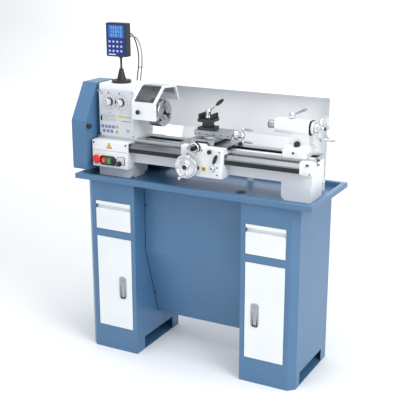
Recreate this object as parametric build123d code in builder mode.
from build123d import *
import os
from math import acos, atan2, cos, hypot, pi, radians, sin, tan

# A bench-height metal lathe on a two-cabinet stand.
# Millimetres. X runs along the bed towards the tailstock, -Y is the operator's side, +Z is up.
# The origin is the middle of the four floor anchor holes, on the floor.

os.makedirs("parts", exist_ok=True)

# ---------------------------------------------------------------- fits and gauges
sheet = 2.5                 # thickness of the folded sheet steel
gap = 2.0                   # shut gap round doors, drawers and covers
slip = 0.4                  # clearance between pieces that slide or turn past each other
fit = 0.05                  # radial clearance of a shaft in its bore

# ---------------------------------------------------------------- stand
stand_length = 1070.0       # over the outer faces of the two cabinets
cabinet_width = 265.0
cabinet_depth = 400.0
cabinet_height = 840.0
cabinet_chamfer = 30.0      # on the outer front edge
cabinet_floor = 67.0        # top of the cabinet's floor panel
toe_height = 64.0
base_plate = 3.0
toe_front, toe_back = -130.0, 140.0
anchor_radius = 7.0
anchor_inset = 30.0         # anchor hole to the cabinet's front and back
door_width = 188.0
door_height = 452.0
door_bottom = 120.0
drawer_height = 135.0
drawer_bottom = 610.0
front_margin = 23.0         # door edge to the cabinet's inner face
return_depth = 20.0         # folded return round each opening
hinge_inset = 4.0
hinge_pin = 2.0
drawer_depth = 330.0
drawer_wall = 2.0
drawer_lip = 16.0           # top strip of the drawer front
drawer_groove = 20.0        # finger groove under it
groove_depth = 15.0
runner_height = 30.0
runner_width = 12.0
latch_width, latch_height = 38.0, 112.0
latch_corner = 14.0
latch_inset = 50.0          # latch centre to the door's free edge
latch_z = 328.0

# ---------------------------------------------------------------- kick panel and drip tray
kick_front = -110.0
kick_fold = 502.0
kick_bottom = 150.0
kick_flange = 25.0
tray_left, tray_right = -580.0, 600.0
tray_depth = 440.0
tray_rim = 867.0
tray_flange = 20.0
drain_x, drain_y = 209.0, -72.0
drain_radius = 20.0

# ---------------------------------------------------------------- bed and ways
bed_left, bed_right = -530.0, 550.0
bed_front, bed_back = -98.0, 37.0
way_top = 1033.0
beam_bottom = 922.0
wall_cast = 26.0            # bed walls
way_width = 43.0
way_depth = 18.0
head_foot = (-524.0, -340.0)
tail_foot = (410.0, 545.0)
foot_round = 22.0
vee_y, vee_width, vee_height = -78.0, 16.0, 5.0

# ---------------------------------------------------------------- spindle line
spindle_y, spindle_z = -30.0, 1153.0
chuck_radius = 62.5
chuck_face, chuck_back = -200.0, -263.0
spindle_radius = 22.0
spindle_bore = 13.0
bearing_radius = 40.0
bearing_width = 18.0
head_left, head_right = -510.0, -320.0
head_back = 60.0
head_top = 1278.0
head_wall = 9.0
dial_plate_top = 1254.0
dial_plate_thick = 6.0
dial_x = (-451.0, -388.0)
dial_z = 1197.0
dial_radius = 19.0

# ---------------------------------------------------------------- gear case
case_plate_left = -538.0
case_left = -619.0
case_wall = 3.0
case_outline = [(-180, 880), (-180, 1108), (-76, 1275), (60, 1275), (150, 1110), (150, 880)]
case_hinge_y = 157.0
lock_knob_y, lock_knob_z = -166.0, 1085.0
module = 1.5                # gear tooth size
spindle_teeth, idler_teeth, screw_teeth = 40, 84, 44
gear_width = 12.0
gear_left = -565.0
pulley_left, pulley_width = -598.0, 18.0
spindle_pulley, motor_pulley = 55.0, 24.0
motor_y, motor_z = 115.0, 930.0
motor_radius = 60.0
motor_left, motor_right = -440.0, -240.0

# ---------------------------------------------------------------- leadscrew
screw_y, screw_z = -125.0, 996.0
screw_radius = 10.0
cover_height, cover_depth = 38.0, 34.0
cover_wall = 2.0
cover_left = -325.0
bracket_left, bracket_right = 508.0, 562.0

# ---------------------------------------------------------------- control box
box_left, box_right = -524.0, -330.0
box_front = -152.0
box_bottom, box_top = 896.0, 1020.0

# ---------------------------------------------------------------- carriage
saddle_left, saddle_right = -75.0, 160.0
saddle_front, saddle_back = -120.0, 50.0
saddle_top = 1047.0
apron_left, apron_right = -45.0, 161.0
apron_front = -165.0
apron_bottom, apron_top = 916.0, 1046.0
wheel_x, wheel_z = -2.0, 960.0
wheel_radius = 55.0
cross_x = 33.0
cross_screw_z = 1044.0
cross_dial = 19.0
cross_wheel_front = 180.0   # in front of the spindle's X-Z plane through y = 0
cross_wheel_radius = 26.0
cross_top = 1070.0
cross_slide_y, cross_slide_length = -22.5, 175.0
compound_top = 1105.0
compound_screw_z = 1086.0
crank_throw = 28.0
post_x, post_y = 33.0, -48.0
post_size = 72.0

# ---------------------------------------------------------------- tailstock
tail_left, tail_right = 412.0, 519.0
quill_radius = 17.5
quill_tip = 318.0
tail_barrel = 31.0
neck_front, neck_back = -52.0, -8.0
neck_left = 430.0
sole_rise = 16.0
tail_wheel_x = 568.0
tail_wheel_radius = 54.0

# ---------------------------------------------------------------- splash guard, display
splash_left, splash_right = -438.0, 528.0
dro_x, dro_z = -436.0, 1474.0
dro_width, dro_height, dro_depth = 108.0, 152.0, 38.0
dro_front = -60.0
stand_x, stand_y = -428.0, -34.0

half = stand_length / 2
inner_face = half - cabinet_width
front = -cabinet_depth / 2
tray_floor = cabinet_height + sheet
bed_mid = (bed_front + bed_back) / 2
bed_width = bed_back - bed_front


def save(name, *pieces):
    """Label a finished node and write its file; several pieces stay separate solids in one group."""
    node = pieces[0].part if len(pieces) == 1 else Compound([piece.part for piece in pieces])
    node.label = name
    export_step(node, f"parts/{name}.step")


def bent_sheet(path, thick):
    """Outline of a bent sheet: a path, and the same path set off to its left with mitred corners."""
    normals = []
    for (a, b), (c, d) in zip(path, path[1:]):
        run = hypot(c - a, d - b)
        normals.append(((b - d) / run, (c - a) / run))
    ends = [normals[0]] + normals + [normals[-1]]
    other = []
    for (x, y), (nx, ny), (mx, my) in zip(path, ends, ends[1:]):
        spread = 1 + nx * mx + ny * my
        other.append((x + thick * (nx + mx) / spread, y + thick * (ny + my) / spread))
    return path + other[::-1]


def gear_points(teeth, phase, centre):
    """Corner points of a straight-flanked spur gear round a centre; phase turns it, in tooth pitches."""
    pitch_radius = module * teeth / 2
    step = 2 * pi / teeth
    points = []
    for tooth in range(teeth):
        middle = (tooth + phase) * step
        for radius, share in (
            (pitch_radius - 1.25 * module, -0.34),
            (pitch_radius + 0.9 * module, -0.12),
            (pitch_radius + 0.9 * module, 0.12),
            (pitch_radius - 1.25 * module, 0.34),
        ):
            angle = middle + share * step
            points.append((centre[0] + radius * cos(angle), centre[1] + radius * sin(angle)))
    return points


# ================================================================ cabinets, doors, drawers
for side, name in ((-1, "left"), (1, "right")):
    outer_x = side * half
    cabinet_x = outer_x - side * cabinet_width / 2
    door_x = side * (inner_face + front_margin + door_width / 2)
    hinge_x = door_x + side * (door_width / 2 - hinge_inset)
    hinge_y = front + hinge_inset
    body_width = door_width - 2 * runner_width

    # Cabinet: a folded steel box, open underneath, with flanged openings for a door and a drawer.
    with BuildPart() as cabinet:
        with BuildSketch() as plan:
            with Locations((cabinet_x, 0)):
                Rectangle(cabinet_width, cabinet_depth)
            chamfer(plan.vertices().sort_by_distance((outer_x, front, 0))[0], cabinet_chamfer)
        extrude(amount=cabinet_height)
        for low, high in ((base_plate, cabinet_floor - sheet), (cabinet_floor, cabinet_height - sheet)):
            with BuildSketch(Plane.XY.offset(low)):
                add(plan.sketch)
                offset(amount=-sheet, mode=Mode.REPLACE)
            extrude(amount=high - low, mode=Mode.SUBTRACT)
        with BuildSketch(Plane.XY.offset(base_plate)):
            with Locations((cabinet_x, (toe_front + toe_back) / 2)):
                Rectangle(cabinet_width + 2 * gap, toe_back - toe_front)
        extrude(amount=toe_height - base_plate, mode=Mode.SUBTRACT)
        # anchor holes in the bottom flanges
        with BuildSketch():
            with Locations(*[(cabinet_x, y * (cabinet_depth / 2 - anchor_inset)) for y in (-1, 1)]):
                Circle(anchor_radius)
        extrude(amount=base_plate, mode=Mode.SUBTRACT)
        # door and drawer openings, each with a folded return
        for low, tall in ((door_bottom, door_height), (drawer_bottom, drawer_height)):
            with BuildSketch(Plane.XZ.offset(-front)):
                with Locations((door_x, low + tall / 2)):
                    Rectangle(door_width + 2 * gap + 2 * sheet, tall + 2 * gap + 2 * sheet)
            extrude(amount=-return_depth)
            with BuildSketch(Plane.XZ.offset(-front)):
                with Locations((door_x, low + tall / 2)):
                    Rectangle(door_width + 2 * gap, tall + 2 * gap)
            extrude(amount=-return_depth, mode=Mode.SUBTRACT)
        # shelf that carries the drawer between two upright runners
        with BuildSketch(Plane.XY.offset(drawer_bottom - gap - 2 * sheet)):
            with Locations((cabinet_x, 0)):
                Rectangle(cabinet_width - 2 * cabinet_chamfer, cabinet_depth - 2 * sheet)
        extrude(amount=sheet)
        with BuildSketch(Plane.XY.offset(drawer_bottom - gap - sheet)):
            with Locations(*[(door_x + s * (body_width / 2 + slip + 3), 0) for s in (-1, 1)]):
                Rectangle(6, cabinet_depth - 2 * return_depth - 40)
        extrude(amount=runner_height)
        # door hinge pins, set in the top and bottom returns
        for z in (door_bottom - gap - sheet, door_bottom + door_height + gap):
            with BuildSketch(Plane.XY.offset(z)):
                with Locations((hinge_x, hinge_y)):
                    Circle(hinge_pin + fit)
            extrude(amount=sheet, mode=Mode.SUBTRACT)
        for z in (door_bottom - gap - sheet + fit, door_bottom + door_height - 4):
            with BuildSketch(Plane.XY.offset(z)):
                with Locations((hinge_x, hinge_y)):
                    Circle(hinge_pin)
            extrude(amount=sheet + gap + 4 - fit)
    save(f"cabinet_{name}", cabinet)

    # Door: a shallow steel pan with pin sockets in its top and bottom returns.
    with BuildPart() as door:
        with BuildSketch(Plane.XY.offset(door_bottom)):
            with Locations((door_x, front + return_depth / 2 - 1)):
                Rectangle(door_width, return_depth - 2)
        extrude(amount=door_height)
        fillet(door.edges().filter_by(Axis.Z).group_by(Axis.Y)[0], 2.0)
        with BuildSketch(Plane.XY.offset(door_bottom + 5)):
            with Locations((door_x, front + return_depth / 2 + 1)):
                Rectangle(door_width - 16, return_depth - 2)
        extrude(amount=door_height - 10, mode=Mode.SUBTRACT)
        with BuildSketch(Plane.XY.offset(door_bottom)):
            with Locations((hinge_x, hinge_y)):
                Circle(hinge_pin + fit)
        extrude(amount=4.5, mode=Mode.SUBTRACT)
        with BuildSketch(Plane.XY.offset(door_bottom + door_height - 4.5)):
            with Locations((hinge_x, hinge_y)):
                Circle(hinge_pin + fit)
        extrude(amount=4.5, mode=Mode.SUBTRACT)
        # cut-out for the flush latch
        latch_x = door_x - side * (door_width / 2 - latch_inset)
        with BuildSketch(Plane.XZ.offset(-front)):
            with Locations((latch_x, latch_z)):
                RectangleRounded(latch_width - 6, latch_height - 6, 5)
        extrude(amount=-5, mode=Mode.SUBTRACT)

    # Latch body: a flanged dish with a round lock barrel above the paddle well.
    paddle_top = latch_z + latch_height / 2 - 42
    with BuildPart() as latch:
        with BuildSketch(Plane.XZ.offset(-front)):
            with Locations((latch_x, latch_z)):
                RectangleRounded(latch_width, latch_height, latch_corner)
        extrude(amount=2)
        with BuildSketch(Plane.XZ.offset(-front)):
            with Locations((latch_x, latch_z)):
                RectangleRounded(latch_width - 7, latch_height - 7, 4.5)
        extrude(amount=-14)
        with BuildSketch(Plane.XZ.offset(-front + 2)):
            with Locations((latch_x, paddle_top - 33)):
                Rectangle(latch_width - 12, 66)
        extrude(amount=-13, mode=Mode.SUBTRACT)
        with BuildSketch(Plane.XZ.offset(-front + 2)):
            with Locations((latch_x, paddle_top + 20)):
                Circle(13)
        extrude(amount=1.5)
    save(f"door_{name}", door, latch)

    # Paddle: a tapering pull that hinges at its top edge, inside the latch's well.
    with BuildPart() as paddle:
        with BuildSketch(Plane.XZ.offset(-front + 1)):
            with BuildLine():
                Polyline(
                    (latch_x - 12, paddle_top - 2),
                    (latch_x + 12, paddle_top - 2),
                    (latch_x + 8, paddle_top - 60),
                    (latch_x - 8, paddle_top - 60),
                    close=True,
                )
            make_face()
        extrude(amount=-4)
        # hinge barrel along its top edge
        with BuildSketch(Plane.YZ.offset(latch_x - 12)):
            with Locations((front + 1, paddle_top - 2)):
                Circle(1.8)
        extrude(amount=24)
    save(f"paddle_{name}", paddle)

    # Drawer: an open steel box with a thick front that has a finger groove near its top.
    with BuildPart() as drawer:
        with BuildSketch(Plane.XY.offset(drawer_bottom + 2)):
            with Locations((door_x, front + return_depth + drawer_depth / 2)):
                Rectangle(body_width, drawer_depth)
        extrude(amount=drawer_height - 32)
        with BuildSketch(Plane.XY.offset(drawer_bottom + 2 + drawer_wall)):
            with Locations((door_x, front + return_depth + drawer_depth / 2)):
                Rectangle(body_width - 2 * drawer_wall, drawer_depth - 2 * drawer_wall)
        extrude(amount=drawer_height, mode=Mode.SUBTRACT)
        with BuildSketch(Plane.XY.offset(drawer_bottom)):
            with Locations((door_x, front + return_depth / 2)):
                Rectangle(door_width, return_depth)
        extrude(amount=drawer_height)
        groove_z = drawer_bottom + drawer_height - drawer_lip - drawer_groove / 2
        with BuildSketch(Plane.XZ.offset(-front)):
            with Locations((door_x, groove_z)):
                Rectangle(door_width, drawer_groove)
        extrude(amount=-groove_depth, mode=Mode.SUBTRACT)
    save(f"drawer_{name}", drawer)

# ================================================================ kick panel
# A bent panel between the cabinets: upright below the tray, then sloping back to the floor.
kick_path = [(kick_front, cabinet_height - gap), (kick_front, kick_fold), (0, kick_bottom), (14, kick_bottom)]
with BuildPart() as kick:
    kick_half = inner_face - slip
    with BuildSketch(Plane.YZ.offset(-kick_half)):
        with BuildLine():
            Polyline(*bent_sheet(kick_path, sheet), close=True)
        make_face()
    extrude(amount=2 * kick_half)
    for x in (-kick_half, kick_half - sheet):
        with BuildSketch(Plane.YZ.offset(x)):
            with BuildLine():
                Polyline(*bent_sheet(kick_path[:3], kick_flange), close=True)
            make_face()
        extrude(amount=sheet)
save("kick_panel", kick)

# ================================================================ drip tray
tray_length = tray_right - tray_left
tray_mid = (tray_left + tray_right) / 2
with BuildPart() as tray:
    with BuildSketch(Plane.XY.offset(cabinet_height)):
        with Locations((tray_mid, 0)):
            Rectangle(tray_length - 2 * tray_flange, tray_depth - 2 * tray_flange)
    extrude(amount=tray_rim - cabinet_height)
    with BuildSketch(Plane.XY.offset(tray_rim - 23)):
        with Locations((tray_mid, 0)):
            Rectangle(tray_length, tray_depth)
            Rectangle(tray_length - 2 * sheet, tray_depth - 2 * sheet, mode=Mode.SUBTRACT)
    extrude(amount=23)
    with BuildSketch(Plane.XY.offset(tray_rim - sheet)):
        with Locations((tray_mid, 0)):
            Rectangle(tray_length, tray_depth)
    extrude(amount=sheet)
    with BuildSketch(Plane.XY.offset(tray_floor)):
        with Locations((tray_mid, 0)):
            Rectangle(tray_length - 2 * tray_flange - 2 * sheet, tray_depth - 2 * tray_flange - 2 * sheet)
    extrude(amount=tray_rim - tray_floor, mode=Mode.SUBTRACT)
    # drain spigot under the floor
    with BuildSketch(Plane.XY.offset(cabinet_height - 25)):
        with Locations((drain_x, drain_y)):
            Circle(drain_radius - 8)
    extrude(amount=25)
    with BuildSketch(Plane.XY.offset(cabinet_height - 25)):
        with Locations((drain_x, drain_y)):
            Circle(drain_radius - 10)
    extrude(amount=25 + sheet, mode=Mode.SUBTRACT)
save("drip_tray", tray)

# ================================================================ bed
with BuildPart() as bed:
    # the side view: a beam on two feet, with rounded inner corners
    with BuildSketch(Plane.XZ.offset(-bed_front)) as side_view:
        with BuildLine():
            Polyline(
                (bed_left, way_top),
                (bed_right, way_top),
                (bed_right, beam_bottom),
                (tail_foot[1], beam_bottom),
                (tail_foot[1], tray_floor),
                (tail_foot[0], tray_floor),
                (tail_foot[0], beam_bottom),
                (head_foot[1], beam_bottom),
                (head_foot[1], tray_floor),
                (head_foot[0], tray_floor),
                (head_foot[0], beam_bottom),
                (bed_left, beam_bottom),
                close=True,
            )
        make_face()
        arch = [side_view.vertices().sort_by_distance((x, bed_front, beam_bottom))[0]
                for x in (head_foot[1], tail_foot[0])]
        fillet(arch, foot_round)
    extrude(amount=-bed_width)
    # hollow underneath, leaving the walls and the ways
    with BuildSketch(Plane.XY.offset(tray_floor)):
        with Locations(((bed_left + bed_right) / 2, bed_mid)):
            Rectangle(bed_right - bed_left - 2 * wall_cast, bed_width - 2 * wall_cast)
    extrude(amount=way_top - way_depth - tray_floor, mode=Mode.SUBTRACT)
    # chip gap between the front and rear ways
    with BuildSketch(Plane.XY.offset(way_top - way_depth)):
        with Locations(((head_right + 25 + bed_right - wall_cast) / 2, bed_mid)):
            Rectangle(bed_right - wall_cast - head_right - 25, bed_width - 2 * way_width)
    extrude(amount=way_depth, mode=Mode.SUBTRACT)
    # cross ribs
    with BuildSketch(Plane.XY.offset(beam_bottom + 8)):
        with Locations(*[(x, bed_mid) for x in (-336, -150, 36, 222, 408)]):
            Rectangle(12, bed_width - 2 * wall_cast)
    extrude(amount=66)
    # end wall of the head foot, towards the middle of the bed
    for x in (head_foot[1] - 14, tail_foot[0]):
        with BuildSketch(Plane.XY.offset(tray_floor)):
            with Locations((x + 7, bed_mid)):
                Rectangle(14, bed_width - 2 * wall_cast)
        extrude(amount=beam_bottom - tray_floor + foot_round)
    # raised vee on the front way, from the headstock to the tail end
    with BuildSketch(Plane.YZ.offset(head_right + 5)):
        with BuildLine():
            Polyline(
                (vee_y - vee_width / 2, way_top),
                (vee_y, way_top + vee_height),
                (vee_y + vee_width / 2, way_top),
                close=True,
            )
        make_face()
    extrude(amount=bed_right - head_right - 5)

# Rack: under the front way, teeth down, for the carriage pinion.
rack_left, rack_right = -300.0, 480.0
rack_pitch = pi * module
rack_front = bed_front - 8
with BuildPart() as rack:
    with BuildSketch(Plane.XZ.offset(-rack_front)):
        with BuildLine():
            teeth_line = []
            for tooth in range(int((rack_right - rack_left) / rack_pitch)):
                x = rack_left + tooth * rack_pitch
                teeth_line += [
                    (x + 0.12 * rack_pitch, screw_z - 8),
                    (x + 0.30 * rack_pitch, screw_z - 11),
                    (x + 0.70 * rack_pitch, screw_z - 11),
                    (x + 0.88 * rack_pitch, screw_z - 8),
                ]
            Polyline((rack_left, screw_z + 4), *teeth_line, (rack_right, screw_z - 8), (rack_right, screw_z + 4),
                     close=True)
        make_face()
    extrude(amount=-(bed_front - rack_front - slip))
save("bed", bed, rack)

# ================================================================ headstock
with BuildPart() as headstock:
    with BuildSketch(Plane.YZ.offset(head_left)):
        with Locations(((bed_front + head_back) / 2, (way_top + head_top) / 2)):
            Rectangle(head_back - bed_front, head_top - way_top)
    extrude(amount=head_right - head_left)
    fillet(headstock.edges().filter_by(Axis.X).group_by(Axis.Z)[-1], 8)
    with BuildSketch(Plane.YZ.offset(head_left + head_wall)):
        with Locations(((bed_front + head_back) / 2, (way_top + head_top) / 2)):
            Rectangle(head_back - bed_front - 2 * head_wall, head_top - way_top - 2 * head_wall)
    extrude(amount=head_right - head_left - 2 * head_wall, mode=Mode.SUBTRACT)
    # bearing housings in both end walls
    for x in (head_left, head_right - bearing_width - 2):
        with BuildSketch(Plane.YZ.offset(x)):
            with Locations((spindle_y, spindle_z)):
                Circle(bearing_radius + 14)
        extrude(amount=bearing_width + 2)
    with BuildSketch(Plane.YZ.offset(head_left)):
        with Locations((spindle_y, spindle_z)):
            Circle(bearing_radius)
    extrude(amount=head_right - head_left, mode=Mode.SUBTRACT)
    # guard hinge lug and pin on the right-hand wall
    guard_hinge_y, guard_hinge_z = 75.0, 1235.0
    with BuildSketch(Plane.YZ.offset(head_right - 14)):
        with BuildLine():
            Polyline(
                (head_back - 10, guard_hinge_z - 40),
                (guard_hinge_y + 10, guard_hinge_z - 12),
                (guard_hinge_y + 10, guard_hinge_z + 10),
                (head_back - 10, guard_hinge_z + 25),
                close=True,
            )
        make_face()
    extrude(amount=14)
    with BuildSketch(Plane.YZ.offset(head_right)):
        with Locations((guard_hinge_y, guard_hinge_z)):
            Circle(5)
    extrude(amount=12)

# Spindle bearings: one ring in each end wall.
with BuildPart() as bearings:
    for x in (head_left + 1, head_right - bearing_width - 1):
        with BuildSketch(Plane.YZ.offset(x)):
            with Locations((spindle_y, spindle_z)):
                Circle(bearing_radius - fit)
                Circle(spindle_radius + fit, mode=Mode.SUBTRACT)
        extrude(amount=bearing_width)
save("spindle_bearings", bearings)

# Dial plate: a rounded plate on the headstock's front, with two spindle holes for the selectors.
with BuildPart() as dial_plate:
    with BuildSketch(Plane.XZ.offset(-bed_front + slip)):
        with Locations(((head_left + head_right) / 2, (way_top + 2 + dial_plate_top) / 2)):
            RectangleRounded(head_right - head_left, dial_plate_top - way_top - 2, 12)
    extrude(amount=dial_plate_thick)
    fillet(dial_plate.faces().sort_by(Axis.Y)[0].edges(), 2)
    with BuildSketch(Plane.XZ.offset(-bed_front + slip)):
        with Locations(*[(x, dial_z) for x in dial_x]):
            Circle(4 + fit)
    extrude(amount=dial_plate_thick, mode=Mode.SUBTRACT)
save("dial_plate", dial_plate)

# Selector knobs: ribbed knobs on short shafts through the dial plate.
for x, name in zip(dial_x, ("speed_dial_left", "speed_dial_right")):
    knob_back = -bed_front + slip + dial_plate_thick + 2
    with BuildPart() as knob:
        with BuildSketch(Plane.XZ.offset(-bed_front + slip + 1)):
            with Locations((x, dial_z)):
                Circle(4)
        extrude(amount=dial_plate_thick + 2)
        with BuildSketch(Plane.XZ.offset(knob_back)):
            with Locations((x, dial_z)):
                Circle(dial_radius)
        extrude(amount=10)
        with BuildSketch(Plane.XZ.offset(knob_back + 10)):
            with Locations((x, dial_z)):
                RectangleRounded(13, 2 * dial_radius - 3, 5)
        extrude(amount=13)
        fillet(knob.faces().sort_by(Axis.Y)[0].edges(), 2)
    save(name, knob)

# ================================================================ gear case
case_hinge_x = case_plate_left
with BuildPart() as case_plate:
    with BuildSketch(Plane.YZ.offset(case_plate_left)):
        with BuildLine():
            Polyline(*case_outline, close=True)
        make_face()
        with Locations((spindle_y, spindle_z)):
            Circle(bearing_radius, mode=Mode.SUBTRACT)
        with Locations((motor_y, motor_z)):
            Circle(16, mode=Mode.SUBTRACT)
        with Locations((screw_y, screw_z)):
            Circle(screw_radius + 3, mode=Mode.SUBTRACT)
        with Locations((lock_knob_y, lock_knob_z)):
            Circle(4 + fit, mode=Mode.SUBTRACT)
    extrude(amount=sheet)
    # stand-offs to the headstock, and the stud that carries the idler gear
    with BuildSketch(Plane.YZ.offset(case_plate_left + sheet)):
        with Locations((bed_front + 20, head_top - 40), (head_back - 20, head_top - 40), (head_back - 20, way_top + 30)):
            Circle(9)
    extrude(amount=head_left - case_plate_left - sheet)
    # fixed hinge knuckles and pins behind the plate's rear edge
    for z in (930, 1050):
        with BuildSketch(Plane.XY.offset(z)):
            with Locations((case_hinge_x, case_hinge_y)):
                Circle(5.5)
            with Locations((case_hinge_x + 2, case_hinge_y - 5)):
                Rectangle(4, 10)
        extrude(amount=20)
        with BuildSketch(Plane.XY.offset(z + 20)):
            with Locations((case_hinge_x, case_hinge_y)):
                Circle(2.5)
        extrude(amount=22)

# centre of the idler gear: in mesh with both the spindle gear and the leadscrew gear
spindle_pitch = module * spindle_teeth / 2
idler_pitch = module * idler_teeth / 2
screw_pitch = module * screw_teeth / 2
span = hypot(screw_y - spindle_y, screw_z - spindle_z)
reach_top = spindle_pitch + idler_pitch
reach_low = screw_pitch + idler_pitch
line_angle = atan2(screw_z - spindle_z, screw_y - spindle_y)
open_angle = acos((span**2 + reach_top**2 - reach_low**2) / (2 * span * reach_top))
idler_y = spindle_y + reach_top * cos(line_angle + open_angle)
idler_z = spindle_z + reach_top * sin(line_angle + open_angle)

print("idler at", round(idler_y, 2), round(idler_z, 2), "span", round(span, 2))


def mesh_phase(teeth, angle, other_teeth, other_phase, other_angle):
    """Phase that puts a gap of this gear, seen at angle, on a tooth of the gear it meets."""
    along = other_angle / (2 * pi / other_teeth) - other_phase
    offset_from_tooth = along - round(along)
    return angle / (2 * pi / teeth) + offset_from_tooth + 0.5


top_angle = atan2(idler_z - spindle_z, idler_y - spindle_y)
spindle_phase = 0.0
idler_phase = mesh_phase(idler_teeth, top_angle + pi, spindle_teeth, spindle_phase, top_angle)
low_angle = atan2(screw_z - idler_z, screw_y - idler_y)
screw_phase = mesh_phase(screw_teeth, low_angle + pi, idler_teeth, idler_phase, low_angle)

# Idler gear, on its own stud.
with BuildPart() as idler:
    with BuildSketch(Plane.YZ.offset(gear_left)):
        with BuildLine():
            Polyline(*gear_points(idler_teeth, idler_phase, (idler_y, idler_z)), close=True)
        make_face()
        with Locations((idler_y, idler_z)):
            Circle(8 + fit, mode=Mode.SUBTRACT)
    extrude(amount=gear_width)
save("idler_gear", idler)

with BuildPart() as stud:
    with BuildSketch(Plane.YZ.offset(gear_left - 6)):
        with Locations((idler_y, idler_z)):
            Circle(8)
    extrude(amount=case_plate_left - gear_left + 6 - slip)
    with BuildSketch(Plane.YZ.offset(gear_left - 6)):
        with Locations((idler_y, idler_z)):
            Circle(12)
    extrude(amount=5)
    with BuildSketch(Plane.YZ.offset(gear_left + gear_width + slip)):
        with Locations((idler_y, idler_z)):
            Circle(12)
    extrude(amount=case_plate_left - gear_left - gear_width - 2 * slip)
save("gear_case_plate", case_plate, stud)

# Spindle: a hollow shaft with a flange for the chuck, and its change gear.
with BuildPart() as spindle:
    with BuildSketch(Plane.YZ.offset(pulley_left - 6)):
        with Locations((spindle_y, spindle_z)):
            Circle(spindle_radius)
    extrude(amount=head_right + 10 - pulley_left + 6)
    with BuildSketch(Plane.YZ.offset(head_right + 2)):
        with Locations((spindle_y, spindle_z)):
            Circle(46)
    extrude(amount=chuck_back - head_right - 2 - slip)
    with BuildSketch(Plane.YZ.offset(pulley_left - 6)):
        with Locations((spindle_y, spindle_z)):
            Circle(spindle_bore)
    extrude(amount=chuck_back - pulley_left + 6, mode=Mode.SUBTRACT)
save("spindle", spindle)

with BuildPart() as change_gear:
    with BuildSketch(Plane.YZ.offset(gear_left)):
        with BuildLine():
            Polyline(*gear_points(spindle_teeth, spindle_phase, (spindle_y, spindle_z)), close=True)
        make_face()
        with Locations((spindle_y, spindle_z)):
            Circle(spindle_radius + fit, mode=Mode.SUBTRACT)
    extrude(amount=gear_width)

# Driven pulley on the spindle's tail end.
with BuildPart() as pulley:
    with BuildSketch(Plane.YZ.offset(pulley_left)):
        with Locations((spindle_y, spindle_z)):
            Circle(spindle_pulley)
            Circle(spindle_radius + fit, mode=Mode.SUBTRACT)
    extrude(amount=pulley_width)
save("spindle_drive", change_gear, pulley)

# Motor: a round body on a foot, with a terminal box on its back.
with BuildPart() as motor:
    with BuildSketch(Plane.YZ.offset(motor_left)):
        with Locations((motor_y, motor_z)):
            Circle(motor_radius)
    extrude(amount=motor_right - motor_left)
    fillet(motor.edges().filter_by(GeomType.CIRCLE), 8)
    with BuildSketch(Plane.XY.offset(tray_floor)):
        with Locations(((motor_left + motor_right) / 2, motor_y)):
            Rectangle(110, 110)
    extrude(amount=12)
    with BuildSketch(Plane.XY.offset(tray_floor + 12)):
        with Locations(((motor_left + motor_right) / 2, motor_y)):
            Rectangle(90, 60)
    extrude(amount=motor_z - tray_floor - 42)
    with BuildSketch(Plane.XY.offset(motor_z + 30)):
        with Locations(((motor_left + motor_right) / 2, motor_y)):
            RectangleRounded(80, 62, 6)
    extrude(amount=48)
    with BuildSketch(Plane.YZ.offset(motor_left)):
        with Locations((motor_y, motor_z)):
            Circle(9 + fit)
    extrude(amount=24, mode=Mode.SUBTRACT)
save("motor_body", motor)

with BuildPart() as motor_drive:
    with BuildSketch(Plane.YZ.offset(pulley_left)):
        with Locations((motor_y, motor_z)):
            Circle(9)
    extrude(amount=motor_left - pulley_left + 22)
    with BuildSketch(Plane.YZ.offset(pulley_left)):
        with Locations((motor_y, motor_z)):
            Circle(motor_pulley)
    extrude(amount=pulley_width)
save("motor_pulley", motor_drive)

# Flat belt round the two pulleys.
with BuildPart() as belt:
    for grow, how in ((5, Mode.ADD), (slip, Mode.SUBTRACT)):
        with BuildSketch(Plane.YZ.offset(pulley_left + 2)):
            with Locations((spindle_y, spindle_z)):
                Circle(spindle_pulley + grow)
            with Locations((motor_y, motor_z)):
                Circle(motor_pulley + grow)
            make_hull()
        extrude(amount=pulley_width - 4, mode=how)
save("drive_belt", belt)

# Gear cover: a deep lid hinged along its rear edge.
with BuildPart() as gear_cover:
    with BuildSketch(Plane.YZ.offset(case_left)) as cover_face:
        with BuildLine():
            Polyline(*case_outline, close=True)
        make_face()
    extrude(amount=case_plate_left - slip - case_left)
    fillet(gear_cover.faces().sort_by(Axis.X)[0].edges(), 6)
    with BuildSketch(Plane.YZ.offset(case_left + case_wall)):
        add(cover_face.sketch_local)
        offset(amount=-case_wall, mode=Mode.REPLACE)
    extrude(amount=case_plate_left - case_left, mode=Mode.SUBTRACT)
    for z in (950.5, 1070.5):
        with BuildSketch(Plane.XY.offset(z)):
            with Locations((case_hinge_x, case_hinge_y)):
                Circle(5.5)
            with Locations((case_hinge_x - 5, case_hinge_y - 4)):
                Rectangle(8, 8)
            with Locations((case_hinge_x, case_hinge_y)):
                Circle(2.5 + fit, mode=Mode.SUBTRACT)
        extrude(amount=19)
save("gear_cover", gear_cover)

with BuildPart() as cover_knob:
    with BuildSketch(Plane.YZ.offset(case_plate_left - 6)):
        with Locations((lock_knob_y, lock_knob_z)):
            Circle(4)
    extrude(amount=12)
    with BuildSketch(Plane.YZ.offset(case_plate_left + sheet + slip)):
        with Locations((lock_knob_y, lock_knob_z)):
            Circle(11)
    extrude(amount=18)
    fillet(cover_knob.faces().sort_by(Axis.X)[-1].edges(), 4)
save("cover_knob", cover_knob)

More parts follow.
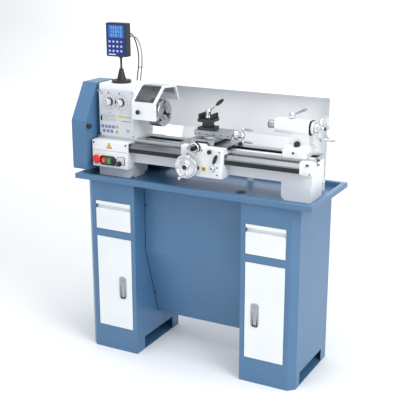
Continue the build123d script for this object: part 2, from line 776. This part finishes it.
# ================================================================ chuck
slot_width = 15.0
with BuildPart() as chuck:
    with BuildSketch(Plane.YZ.offset(chuck_back)):
        with Locations((spindle_y, spindle_z)):
            Circle(chuck_radius)
    extrude(amount=chuck_face - chuck_back)
    chamfer(chuck.edges().filter_by(GeomType.CIRCLE), 2)
    with BuildSketch(Plane.YZ.offset(chuck_back)):
        with Locations((spindle_y, spindle_z)):
            Circle(16)
    extrude(amount=chuck_face - chuck_back, mode=Mode.SUBTRACT)
    with BuildSketch(Plane.YZ.offset(chuck_face - 24)):
        with Locations((spindle_y, spindle_z)):
            with PolarLocations(0, 3, start_angle=90):
                with Locations((chuck_radius / 2 + 4, 0)):
                    Rectangle(chuck_radius + 4, slot_width)
    extrude(amount=24, mode=Mode.SUBTRACT)
save("chuck_body", chuck)

for number in range(3):
    turn = 90 + 120 * number
    with BuildPart() as jaw:
        for low, high, inner, outer in (
            (chuck_face - 22, chuck_face, 18.0, 58.0),
            (chuck_face, chuck_face + 8, 18.0, 50.0),
            (chuck_face + 8, chuck_face + 17, 18.0, 34.0),
        ):
            with BuildSketch(Plane.YZ.offset(low)):
                with Locations((spindle_y, spindle_z)):
                    with PolarLocations(0, 1, start_angle=turn):
                        with Locations(((inner + outer) / 2, 0)):
                            Rectangle(outer - inner, slot_width - 2 * slip)
            extrude(amount=high - low)
    save(f"chuck_jaw_{number + 1}", jaw)

# ================================================================ chuck guard
guard_left, guard_right = -318.0, -194.0
guard_path = [(-125, 1130), (-125, 1212), (-43, 1278), (64, 1270), (94, 1200)]
rail = 11.0
with BuildPart() as guard:
    for x in (guard_left, guard_right - rail):
        with BuildSketch(Plane.YZ.offset(x)):
            with BuildLine():
                Polyline(*bent_sheet(guard_path, -9), close=True)
            make_face()
        extrude(amount=rail)
    with BuildSketch(Plane.YZ.offset(guard_left)):
        with BuildLine():
            Polyline(*bent_sheet(guard_path[:2], -3), close=True)
        make_face()
    extrude(amount=guard_right - guard_left)
    # cross strip near the rear edge
    with BuildSketch(Plane.YZ.offset(guard_left)):
        with BuildLine():
            Polyline(*bent_sheet([(84.4, 1222), (94, 1200)], -9), close=True)
        make_face()
    extrude(amount=guard_right - guard_left)
    # hinge ear round the pin on the headstock
    with BuildSketch(Plane.YZ.offset(guard_left)):
        with Locations((guard_hinge_y, guard_hinge_z)):
            Circle(12)
    extrude(amount=rail)
    with BuildSketch(Plane.YZ.offset(guard_left)):
        with Locations((guard_hinge_y, guard_hinge_z)):
            Circle(5 + fit)
    extrude(amount=rail, mode=Mode.SUBTRACT)
    # pull knob on the front plate
    with BuildSketch(Plane.XZ.offset(125)):
        with Locations((guard_left + 42, 1168)):
            Circle(5)
    extrude(amount=8)
    with BuildSketch(Plane.XZ.offset(133)):
        with Locations((guard_left + 42, 1168)):
            Circle(11)
    extrude(amount=13)
save("chuck_guard", guard)

with BuildPart() as windows:
    for a, b in zip(guard_path[1:], guard_path[2:]):
        run = hypot(b[0] - a[0], b[1] - a[1])
        ux, uz = (b[0] - a[0]) / run, (b[1] - a[1]) / run
        trim = 6
        last = 30 if b == guard_path[-1] else trim
        ends = [(a[0] + trim * ux, a[1] + trim * uz), (b[0] - last * ux, b[1] - last * uz)]
        with BuildSketch(Plane.YZ.offset(guard_left + rail + slip)):
            with BuildLine():
                Polyline(*bent_sheet(ends, -3), close=True)
            make_face()
        extrude(amount=guard_right - guard_left - 2 * rail - 2 * slip)
save("guard_windows", windows)

# ================================================================ leadscrew, cover, tail bracket
with BuildPart() as screw:
    with BuildSketch(Plane.YZ.offset(gear_left - 8)):
        with Locations((screw_y, screw_z)):
            Circle(screw_radius)
    extrude(amount=bracket_left + 40 - gear_left + 8)

with BuildPart() as screw_gear:
    with BuildSketch(Plane.YZ.offset(gear_left)):
        with BuildLine():
            Polyline(*gear_points(screw_teeth, screw_phase, (screw_y, screw_z)), close=True)
        make_face()
        with Locations((screw_y, screw_z)):
            Circle(screw_radius + fit, mode=Mode.SUBTRACT)
    extrude(amount=gear_width)
save("leadscrew", screw, screw_gear)

cover_front = screw_y - cover_depth / 2
cover_path = [
    (screw_y + cover_depth / 2, screw_z - cover_height / 2),
    (cover_front, screw_z - cover_height / 2),
    (cover_front, screw_z + cover_height / 2 - 12),
    (cover_front + 20, screw_z + cover_height / 2 + 1),
    (screw_y + cover_depth / 2 - 2, screw_z + cover_height / 2 + 1),
]
with BuildPart() as screw_cover:
    with BuildSketch(Plane.YZ.offset(cover_left)):
        with BuildLine():
            Polyline(*bent_sheet(cover_path, -cover_wall), close=True)
        make_face()
    extrude(amount=bracket_left - slip - cover_left)
save("leadscrew_cover", screw_cover)

with BuildPart() as bracket:
    with BuildSketch(Plane.YZ.offset(bracket_left)):
        with Locations(((cover_front + bed_front - slip) / 2, screw_z + 4)):
            RectangleRounded(bed_front - slip - cover_front, cover_height + 18, 6)
    extrude(amount=bracket_right - bracket_left)
    with BuildSketch(Plane.YZ.offset(bracket_left)):
        with Locations((screw_y, screw_z)):
            Circle(screw_radius + fit)
    extrude(amount=44, mode=Mode.SUBTRACT)
    with BuildSketch(Plane.XZ.offset(-cover_front)):
        with Locations((543, screw_z + 22)):
            Circle(5.5)
    extrude(amount=7)
save("leadscrew_bracket", bracket)

# ================================================================ control box and its panel
with BuildPart() as control_box:
    with BuildSketch(Plane.XY.offset(box_bottom)):
        with Locations(((box_left + box_right) / 2, (box_front + bed_front - slip) / 2)):
            Rectangle(box_right - box_left, bed_front - slip - box_front)
    extrude(amount=box_top - box_bottom)
    fillet(control_box.faces().sort_by(Axis.Y)[0].edges(), 3)
    with BuildSketch(Plane.XY.offset(box_bottom + sheet)):
        with Locations(((box_left + box_right) / 2, (box_front + bed_front - slip) / 2)):
            Rectangle(box_right - box_left - 2 * sheet, bed_front - slip - box_front - 2 * sheet)
    extrude(amount=box_top - box_bottom - 2 * sheet, mode=Mode.SUBTRACT)
    with BuildSketch(Plane.YZ.offset(box_left)):
        with Locations((screw_y, screw_z)):
            Circle(screw_radius + 3)
    extrude(amount=box_right - box_left, mode=Mode.SUBTRACT)
    # holes for the stems of the controls
    with BuildSketch(Plane.XZ.offset(-box_front)):
        with Locations((-490, 935), (-455, 930), (-425, 930), (-374, 921)):
            Circle(5 + 2 * fit)
    extrude(amount=-sheet, mode=Mode.SUBTRACT)

with BuildPart() as switch_frame:
    with BuildSketch(Plane.XZ.offset(-box_front + fit)):
        with Locations((-435, 930)):
            RectangleRounded(84, 42, 6)
        with Locations((-455, 930), (-425, 930)):
            Circle(11 + slip, mode=Mode.SUBTRACT)
    extrude(amount=6)
    with BuildSketch(Plane.XZ.offset(-box_front + fit)):
        with Locations((-490, 935)):
            Circle(12)
            Circle(5 + slip, mode=Mode.SUBTRACT)
    extrude(amount=5)
save("control_box", control_box, switch_frame)

for name, x, z, cap, long, lift in (
    ("estop_button", -490, 935, 21, 14, 12),
    ("stop_button", -455, 930, 11, 7, 5),
    ("start_button", -425, 930, 11, 7, 5),
    ("selector_knob", -374, 921, 12, 16, 2),
):
    with BuildPart() as push:
        with BuildSketch(Plane.XZ.offset(-box_front - sheet - 8)):
            with Locations((x, z)):
                Circle(5)
        extrude(amount=sheet + 8 + lift)
        with BuildSketch(Plane.XZ.offset(-box_front + lift)):
            with Locations((x, z)):
                Circle(cap)
        extrude(amount=long)
        fillet(push.faces().sort_by(Axis.Y)[0].edges(), 2)
    save(name, push)

# ================================================================ carriage
with BuildPart() as saddle:
    with BuildSketch(Plane.XY.offset(way_top + slip)):
        with Locations(((saddle_left + saddle_right) / 2, (saddle_front + saddle_back) / 2)):
            Rectangle(saddle_right - saddle_left, saddle_back - saddle_front)
    extrude(amount=saddle_top - way_top - slip)
    fillet(saddle.edges().filter_by(Axis.Z), 5)
    # raised dovetail pad for the cross slide
    with BuildSketch(Plane.XY.offset(saddle_top)):
        with Locations((cross_x, (saddle_front + saddle_back) / 2)):
            Rectangle(70, saddle_back - saddle_front)
    extrude(amount=8)
    # rear skirt that keeps the saddle on the rear way
    with BuildSketch(Plane.XY.offset(way_top - 24)):
        with Locations(((saddle_left + saddle_right) / 2, (bed_back + slip + saddle_back) / 2)):
            Rectangle(saddle_right - saddle_left - 20, saddle_back - bed_back - slip)
    extrude(amount=24 + slip)
    # clearance for the vee of the front way
    with BuildSketch(Plane.YZ.offset(saddle_left)):
        with BuildLine():
            Polyline(
                (vee_y - vee_width / 2 - 1, way_top),
                (vee_y, way_top + vee_height + 0.8),
                (vee_y + vee_width / 2 + 1, way_top),
                close=True,
            )
        make_face()
    extrude(amount=saddle_right - saddle_left, mode=Mode.SUBTRACT)
    # channel for the cross-feed screw
    with BuildSketch(Plane.XZ.offset(-saddle_front)):
        with Locations((cross_x, cross_screw_z + 8)):
            Rectangle(13, 28)
    extrude(amount=-(saddle_back - saddle_front - 14), mode=Mode.SUBTRACT)
save("saddle", saddle)

with BuildPart() as apron:
    with BuildSketch(Plane.YZ.offset(apron_left)):
        with BuildLine():
            Polyline(
                (apron_front, apron_bottom),
                (apron_front, apron_top),
                (saddle_front - slip, apron_top),
                (saddle_front - slip, way_top - 12),
                (bed_front - 1, way_top - 12),
                (bed_front - 1, screw_z + cover_height / 2 + 4),
                (cover_front - 2.5, screw_z + cover_height / 2 + 4),
                (cover_front - 2.5, screw_z - cover_height / 2 - 3),
                (bed_front - 1, screw_z - cover_height / 2 - 3),
                (bed_front - 1, apron_bottom),
                close=True,
            )
        make_face()
    extrude(amount=apron_right - apron_left)
    fillet(apron.faces().sort_by(Axis.Y)[0].edges().filter_by(Axis.Z), 8)
    # boss that carries the cross-feed screw's front bearing
    with BuildSketch(Plane.XZ.offset(-apron_front)):
        with Locations((cross_x, saddle_top + 8 - 33 / 2)):
            RectangleRounded(62, 33, 8)
    extrude(amount=apron_front - saddle_front + slip)
    with BuildSketch(Plane.XZ.offset(-apron_front)):
        with Locations((cross_x, cross_screw_z)):
            Circle(6 + fit)
    extrude(amount=apron_front - saddle_front, mode=Mode.SUBTRACT)
    # bosses for the handwheel and the feed lever
    with BuildSketch(Plane.XZ.offset(-apron_front)):
        with Locations((wheel_x, wheel_z)):
            Circle(24)
    extrude(amount=14)
    with BuildSketch(Plane.XZ.offset(-apron_front)):
        with Locations((118, 962)):
            Circle(17)
    extrude(amount=6)
    with BuildSketch(Plane.XZ.offset(-apron_front + 20)):
        with Locations((wheel_x, wheel_z), (118, 962)):
            Circle(7 + fit)
    extrude(amount=-50, mode=Mode.SUBTRACT)
    # post that ties the apron to the saddle above it
    with BuildSketch(Plane.XY.offset(way_top - 12)):
        with Locations(((apron_left + saddle_right) / 2, (saddle_front + 3 + bed_front - 1) / 2)):
            Rectangle(saddle_right - apron_left - 8, bed_front - 4 - saddle_front)
    extrude(amount=12 + slip)
save("apron", apron)

# Carriage handwheel: dished rim, hub, shaft into the apron, and a crank grip.
wheel_back = -apron_front + 16
with BuildPart() as carriage_wheel:
    with BuildSketch(Plane.XZ.offset(-apron_front - 20)):
        with Locations((wheel_x, wheel_z)):
            Circle(7)
    extrude(amount=40)
    with BuildSketch(Plane.XZ.offset(wheel_back)):
        with Locations((wheel_x, wheel_z)):
            Circle(22)
    extrude(amount=24)
    with BuildSketch(Plane.XZ.offset(wheel_back + 4)):
        with Locations((wheel_x, wheel_z)):
            Circle(wheel_radius)
    extrude(amount=8)
    with BuildSketch(Plane.XZ.offset(wheel_back + 4)):
        with Locations((wheel_x, wheel_z)):
            Circle(wheel_radius)
            Circle(wheel_radius - 11, mode=Mode.SUBTRACT)
    extrude(amount=15)
    with BuildSketch(Plane.XZ.offset(wheel_back + 12)):
        with Locations((wheel_x - 8, wheel_z - wheel_radius + 13)):
            Circle(8)
    extrude(amount=50)
save("carriage_handwheel", carriage_wheel)

lever_x, lever_z = 118.0, 962.0
with BuildPart() as half_nut:
    with BuildSketch(Plane.XZ.offset(-apron_front - 14)):
        with Locations((lever_x, lever_z)):
            Circle(7)
    extrude(amount=28)
    with BuildSketch(Plane.XZ.offset(-apron_front + 8)):
        with Locations((lever_x, lever_z)):
            Circle(13)
    extrude(amount=14)
    with BuildSketch(Plane.XZ.offset(-apron_front + 11)):
        with Locations((lever_x + 5, lever_z + 14)):
            Rectangle(9, 34, rotation=-20)
    extrude(amount=8)
    with BuildSketch(Plane.XZ.offset(-apron_front + 10)):
        with Locations((lever_x + 16, lever_z + 42)):
            SlotOverall(42, 13, rotation=70)
    extrude(amount=12)
save("half_nut_lever", half_nut)

lock_x, lock_z = 103.0, 1032.0
with BuildPart() as lock_knob:
    with BuildSketch(Plane.XZ.offset(-apron_front + slip)):
        with Locations((lock_x, lock_z)):
            Circle(10)
    extrude(amount=16)
    fillet(lock_knob.faces().sort_by(Axis.Y)[0].edges(), 4)
save("carriage_lock", lock_knob)

with BuildPart() as cross_slide:
    with BuildSketch(Plane.XY.offset(saddle_top + 8 + slip)):
        with Locations((cross_x, cross_slide_y)):
            Rectangle(118, cross_slide_length)
    extrude(amount=cross_top - saddle_top - 8 - slip)
    fillet(cross_slide.edges().filter_by(Axis.Z), 6)
    # skirts either side of the dovetail pad
    with BuildSketch(Plane.XY.offset(saddle_top + slip)):
        with Locations((cross_x - 48, cross_slide_y), (cross_x + 48, cross_slide_y)):
            Rectangle(22, cross_slide_length)
    extrude(amount=8)

with BuildPart() as cross_wheel:
    bracket_front = -apron_front
    with BuildSketch(Plane.XZ.offset(-saddle_back + 20)):
        with Locations((cross_x, cross_screw_z)):
            Circle(5)
    extrude(amount=bracket_front + saddle_back - 20)
    with BuildSketch(Plane.XZ.offset(bracket_front - 14)):
        with Locations((cross_x, cross_screw_z)):
            Circle(6)
    extrude(amount=16)
    with BuildSketch(Plane.XZ.offset(bracket_front + slip)):
        with Locations((cross_x, cross_screw_z)):
            Circle(cross_dial)
    extrude(amount=cross_wheel_front - bracket_front)
    with BuildSketch(Plane.XZ.offset(cross_wheel_front)):
        with Locations((cross_x, cross_screw_z)):
            Circle(cross_wheel_radius)
    extrude(amount=10)
    with BuildSketch(Plane.XZ.offset(cross_wheel_front + 10)):
        with Locations((cross_x, cross_screw_z)):
            Circle(11)
    extrude(amount=10)
    with BuildSketch(Plane.XZ.offset(cross_wheel_front + 10)):
        with Locations((cross_x - 10, cross_screw_z + 14)):
            Circle(6)
    extrude(amount=34)
save("cross_handwheel", cross_wheel)

# ================================================================ compound slide and tool post
with BuildPart() as swivel:
    with BuildSketch(Plane.XY.offset(cross_top)):
        with Locations((post_x + 20, post_y)):
            Circle(46)
    extrude(amount=10)
    with BuildSketch(Plane.XY.offset(cross_top + 10)):
        with Locations((post_x + 20, post_y)):
            Rectangle(150, 40)
    extrude(amount=6)
save("cross_slide", cross_slide, swivel)

compound_left, compound_right = post_x - 50, post_x + 132
with BuildPart() as compound:
    with BuildSketch(Plane.XY.offset(cross_top + 10 + slip)):
        with Locations(((compound_left + compound_right) / 2, post_y)):
            Rectangle(compound_right - compound_left, 80)
            Rectangle(compound_right - compound_left, 40 + 2 * slip, mode=Mode.SUBTRACT)
    extrude(amount=8)
    with BuildSketch(Plane.XY.offset(cross_top + 16 + slip)):
        with Locations(((compound_left + compound_right) / 2, post_y)):
            Rectangle(compound_right - compound_left, 80)
    extrude(amount=compound_top - cross_top - 16 - slip)
    fillet(compound.edges().filter_by(Axis.Z).group_by(Axis.X)[-1], 6)
    with BuildSketch(Plane.YZ.offset(compound_left + 40)):
        with Locations((post_y, compound_screw_z + 6)):
            Circle(6 + fit)
    extrude(amount=compound_right - compound_left, mode=Mode.SUBTRACT)
save("compound_slide", compound)

compound_axis_z = compound_screw_z + 6
with BuildPart() as crank:
    with BuildSketch(Plane.YZ.offset(compound_left + 60)):
        with Locations((post_y, compound_axis_z)):
            Circle(6)
    extrude(amount=compound_right - compound_left - 50)
    with BuildSketch(Plane.YZ.offset(compound_right + slip)):
        with Locations((post_y, compound_axis_z)):
            Circle(20)
    extrude(amount=24)
    with BuildSketch(Plane.YZ.offset(compound_right + 24)):
        with Locations((post_y, compound_axis_z)):
            Circle(13)
    extrude(amount=24)
    # two radial arms, each with a ball and a grip that points away from the slide
    root = Vector(compound_right + 38, post_y, compound_axis_z)
    for direction in (Vector(0, 0, 1), Vector(0, 0, -1)):
        with BuildSketch(Plane(origin=root, z_dir=direction)):
            Circle(4)
        extrude(amount=crank_throw)
        with Locations(root + direction * crank_throw):
            Sphere(7)
        with BuildSketch(Plane(origin=root + direction * crank_throw, z_dir=(1, 0, 0))):
            Circle(5)
        extrude(amount=48)
save("compound_crank", crank)

with BuildPart() as post:
    with BuildSketch(Plane.XY.offset(compound_top + slip)):
        with Locations((post_x, post_y)):
            Rectangle(post_size, post_size)
            Circle(8 + fit, mode=Mode.SUBTRACT)
    extrude(amount=12)
    with BuildSketch(Plane.XY.offset(compound_top + slip + 12)):
        with Locations((post_x, post_y)):
            Rectangle(40, 40)
            Circle(8 + fit, mode=Mode.SUBTRACT)
    extrude(amount=23)
    with BuildSketch(Plane.XY.offset(compound_top + slip + 35)):
        with Locations((post_x, post_y)):
            Rectangle(post_size, post_size)
            Circle(8 + fit, mode=Mode.SUBTRACT)
    extrude(amount=14)

# Clamp bolts: square heads on long shanks through the tool post's top plate.
with BuildPart() as bolts:
    spots = [(post_x + sx * px, post_y + sy * py) for sx in (-1, 1) for sy in (-1, 1) for px, py in ((28, 28), (28, 9))]
    with BuildSketch(Plane.XY.offset(compound_top + slip + 49)):
        with Locations(*spots):
            Rectangle(10, 10)
    extrude(amount=22)
save("tool_post", post, bolts)

lever_base = compound_top + slip + 49.5
with BuildPart() as post_lever:
    with BuildSketch(Plane.XY.offset(compound_top + 2)):
        with Locations((post_x, post_y)):
            Circle(8)
    extrude(amount=lever_base - compound_top)
    with BuildSketch(Plane.XY.offset(lever_base)):
        with Locations((post_x, post_y)):
            Circle(16)
    extrude(amount=41, taper=9)
    arm = Vector(0.78, -0.10, 0.62).normalized()
    hub = Vector(post_x, post_y, lever_base + 28)
    with BuildSketch(Plane(origin=hub, z_dir=arm)):
        Circle(5)
    extrude(amount=62)
    with BuildSketch(Plane(origin=hub + arm * 56, z_dir=arm)):
        Circle(8)
    extrude(amount=44)
save("tool_post_lever", post_lever)

# ================================================================ tailstock
quill_front = 355.0
with BuildPart() as tail_base:
    with BuildSketch(Plane.XY.offset(way_top + slip)):
        with Locations(((tail_left + tail_right) / 2, (-105 + 40) / 2)):
            Rectangle(tail_right - tail_left, 145)
    extrude(amount=28)
    fillet(tail_base.edges().filter_by(Axis.Z), 5)
    with BuildSketch(Plane.YZ.offset(tail_left)):
        with BuildLine():
            Polyline(
                (vee_y - vee_width / 2 - 1, way_top),
                (vee_y, way_top + vee_height + 0.8),
                (vee_y + vee_width / 2 + 1, way_top),
                close=True,
            )
        make_face()
    extrude(amount=tail_right - tail_left, mode=Mode.SUBTRACT)
    # clamp plate and bolt between the ways
    with BuildSketch(Plane.XY.offset(way_top - way_depth - 14)):
        with Locations(((tail_left + tail_right) / 2, bed_mid)):
            Rectangle(60, 62)
    extrude(amount=12)
    with BuildSketch(Plane.XY.offset(way_top - way_depth - 10)):
        with Locations(((tail_left + tail_right) / 2, bed_mid)):
            Circle(7)
    extrude(amount=way_depth + 14)
save("tailstock_base", tail_base)

with BuildPart() as tail_body:
    # sole with a roof that rises to the neck
    sole_bottom = way_top + slip + 28.1
    with BuildSketch(Plane.YZ.offset(tail_left + 2)):
        with BuildLine():
            Polyline(
                (-103, sole_bottom),
                (neck_front - 4, sole_bottom + sole_rise),
                (neck_back + 4, sole_bottom + sole_rise),
                (34, sole_bottom),
                close=True,
            )
        make_face()
    extrude(amount=tail_right - tail_left - 4)
    with BuildSketch(Plane.XY.offset(sole_bottom)):
        with Locations(((neck_left + tail_right - 6) / 2, (neck_front + neck_back) / 2)):
            Rectangle(tail_right - 6 - neck_left, neck_back - neck_front)
    extrude(amount=spindle_z - sole_bottom)
    with BuildSketch(Plane.YZ.offset(quill_front)):
        with Locations((spindle_y, spindle_z)):
            RectangleRounded(2 * tail_barrel, 2 * tail_barrel, 22)
    extrude(amount=tail_right - 6 - quill_front)
    with BuildSketch(Plane.YZ.offset(quill_front)):
        with Locations((spindle_y, spindle_z)):
            Circle(quill_radius + fit)
    extrude(amount=tail_right - quill_front, mode=Mode.SUBTRACT)
    # end plate and screw bearing behind the barrel
    with BuildSketch(Plane.YZ.offset(tail_right - 6)):
        with Locations((spindle_y, spindle_z)):
            Circle(27)
            Circle(6 + fit, mode=Mode.SUBTRACT)
    extrude(amount=16)
    # hole for the quill lock
    with BuildSketch(Plane.XY.offset(spindle_z + quill_radius - 2)):
        with Locations((425, spindle_y)):
            Circle(6 + fit)
    extrude(amount=30, mode=Mode.SUBTRACT)
save("tailstock_body", tail_body)

with BuildPart() as quill:
    with BuildSketch(Plane.YZ.offset(quill_tip)):
        with Locations((spindle_y, spindle_z)):
            Circle(quill_radius)
    extrude(amount=150)
    chamfer(quill.faces().sort_by(Axis.X)[0].edges(), 2)
    with BuildSketch(Plane.YZ.offset(quill_tip)):
        with Locations((spindle_y, spindle_z)):
            Circle(9)
    extrude(amount=70, taper=1.5, mode=Mode.SUBTRACT)
    with BuildSketch(Plane.YZ.offset(quill_tip + 72)):
        with Locations((spindle_y, spindle_z)):
            Circle(7)
    extrude(amount=90, mode=Mode.SUBTRACT)
save("quill", quill)

with BuildPart() as tail_wheel:
    with BuildSketch(Plane.YZ.offset(quill_tip + 100)):
        with Locations((spindle_y, spindle_z)):
            Circle(6)
    extrude(amount=tail_wheel_x - quill_tip - 100)
    with BuildSketch(Plane.YZ.offset(tail_right + 10 + slip)):
        with Locations((spindle_y, spindle_z)):
            Circle(20)
    extrude(amount=tail_wheel_x - tail_right - 10)
    with BuildSketch(Plane.YZ.offset(tail_wheel_x - 8)):
        with Locations((spindle_y, spindle_z)):
            Circle(tail_wheel_radius)
    extrude(amount=7)
    with BuildSketch(Plane.YZ.offset(tail_wheel_x - 8)):
        with Locations((spindle_y, spindle_z)):
            Circle(tail_wheel_radius)
            Circle(tail_wheel_radius - 11, mode=Mode.SUBTRACT)
    extrude(amount=15)
    with BuildSketch(Plane.YZ.offset(tail_wheel_x - 1)):
        with Locations((spindle_y - 6, spindle_z - tail_wheel_radius + 12)):
            Circle(8)
    extrude(amount=58)
save("tailstock_handwheel", tail_wheel)

with BuildPart() as quill_lock:
    with BuildSketch(Plane.XY.offset(spindle_z + quill_radius + slip)):
        with Locations((425, spindle_y)):
            Circle(6)
    extrude(amount=24)
    with Locations((425, spindle_y, spindle_z + 46)):
        Sphere(14)
    arm = Vector(0.86, -0.05, 0.42).normalized()
    with BuildSketch(Plane(origin=Vector(425, spindle_y, spindle_z + 46), z_dir=arm)):
        Circle(5)
    extrude(amount=68)
save("quill_lock", quill_lock)

# ================================================================ splash guard
splash_path = [(118, 880), (188, 1051), (211, 1258), (150, 1253)]
with BuildPart() as splash:
    for left, path in ((splash_left, splash_path[1:]), (-225, splash_path[:2])):
        with BuildSketch(Plane.YZ.offset(left)):
            with BuildLine():
                Polyline(*bent_sheet(path, sheet), close=True)
            make_face()
        extrude(amount=splash_right - left)
    # right wing, and three legs that stand in the tray
    with BuildSketch(Plane.YZ.offset(splash_right - sheet)):
        with BuildLine():
            Polyline((118, 880), (188, 1051), (211, 1258), (150, 1253), (122, 924), close=True)
        make_face()
    extrude(amount=sheet)
    for x in (-200, 150, splash_right - 30):
        with BuildSketch(Plane.YZ.offset(x)):
            with BuildLine():
                Polyline((118, tray_floor), (121, tray_floor), (121, 888), (118, 881), close=True)
            make_face()
        extrude(amount=30)
save("splash_guard", splash)

# ================================================================ digital readout on its stand
with BuildPart() as dro:
    with BuildSketch(Plane.XZ.offset(-dro_front)):
        with Locations((dro_x, dro_z)):
            RectangleRounded(dro_width, dro_height, 5)
    extrude(amount=-dro_depth)
    fillet(dro.faces().sort_by(Axis.Y)[0].edges(), 2)
save("readout_housing", dro)

with BuildPart() as dro_stand:
    with BuildSketch(Plane.XY.offset(head_top)):
        with Locations((stand_x, stand_y)):
            Circle(45)
    extrude(amount=13)
    fillet(dro_stand.faces().sort_by(Axis.Z)[-1].edges(), 4)
    with BuildSketch(Plane.XY.offset(head_top + 13)):
        with Locations((stand_x, stand_y)):
            Circle(22)
    extrude(amount=52, taper=14)
    with BuildSketch(Plane.XY.offset(head_top + 60)):
        with Locations((stand_x, stand_y)):
            Circle(5)
    extrude(amount=dro_z - dro_height / 2 - head_top - 60)
    with BuildSketch(Plane.XY.offset(dro_z - dro_height / 2 - 8)):
        with Locations((stand_x, stand_y)):
            Circle(9)
    extrude(amount=8)
save("readout_stand", dro_stand)

# Cable box behind the headstock, with two upright glands for the readout's cables.
cable_end_y, cable_end_z = 82.0, 1200.0
with BuildPart() as cable_box:
    with BuildSketch(Plane.XY.offset(1130)):
        with Locations((-410, (head_back + slip + 104) / 2)):
            RectangleRounded(56, 104 - head_back - slip, 4)
    extrude(amount=cable_end_z - 12 - 1130)
    with BuildSketch(Plane.XY.offset(cable_end_z - 12)):
        with Locations((-419, cable_end_y), (-402, cable_end_y)):
            Circle(7)
    extrude(amount=12)
save("headstock_casing", headstock, cable_box)

# Readout cables: hand-placed routes from the housing's back down to the glands.
cables = {
    "readout_cable_black": (3.0, [
        (-402, dro_front + dro_depth, 1503), (-402, 16, 1503), (-394, 37, 1469), (-380, 38, 1422),
        (-377, 38, 1376), (-384, 46, 1342), (-400, 62, 1308), (-413, 76, 1274), (-419, cable_end_y, 1236),
        (-419, cable_end_y, cable_end_z),
    ]),
    "readout_cable_grey": (3.5, [
        (-388, dro_front + dro_depth, 1489), (-388, 22, 1489), (-378, 48, 1457), (-364.5, 45, 1412),
        (-363, 44, 1372), (-370, 52, 1340), (-384, 66, 1304), (-396.5, 78, 1270), (-402, cable_end_y, 1234),
        (-402, cable_end_y, cable_end_z),
    ]),
}
for name, (radius, route) in cables.items():
    points = [Vector(*p) for p in route]
    runs = [(b - a).length for a, b in zip(points, points[1:])]
    turns = [radians((b - a).get_angle(c - b)) for a, b, c in zip(points, points[1:], points[2:])]
    radii = [0.45 * min(r, s) / tan(t / 2) for r, s, t in zip(runs, runs[1:], turns)]
    print(name, "runs", [round(r) for r in runs], "radii", [round(r) for r in radii])
    with BuildPart() as cable:
        with BuildLine() as line:
            FilletPolyline(*points, radius=radii)
        start = Plane(origin=points[0], z_dir=points[1] - points[0])
        with BuildSketch(start):
            Circle(radius)
        sweep()
    length = line.wires()[0].length
    ratio = cable.part.volume / (pi * radius**2 * length)
    print(name, "length", round(length, 1), "volume ratio", round(ratio, 4))
    save(name, cable)
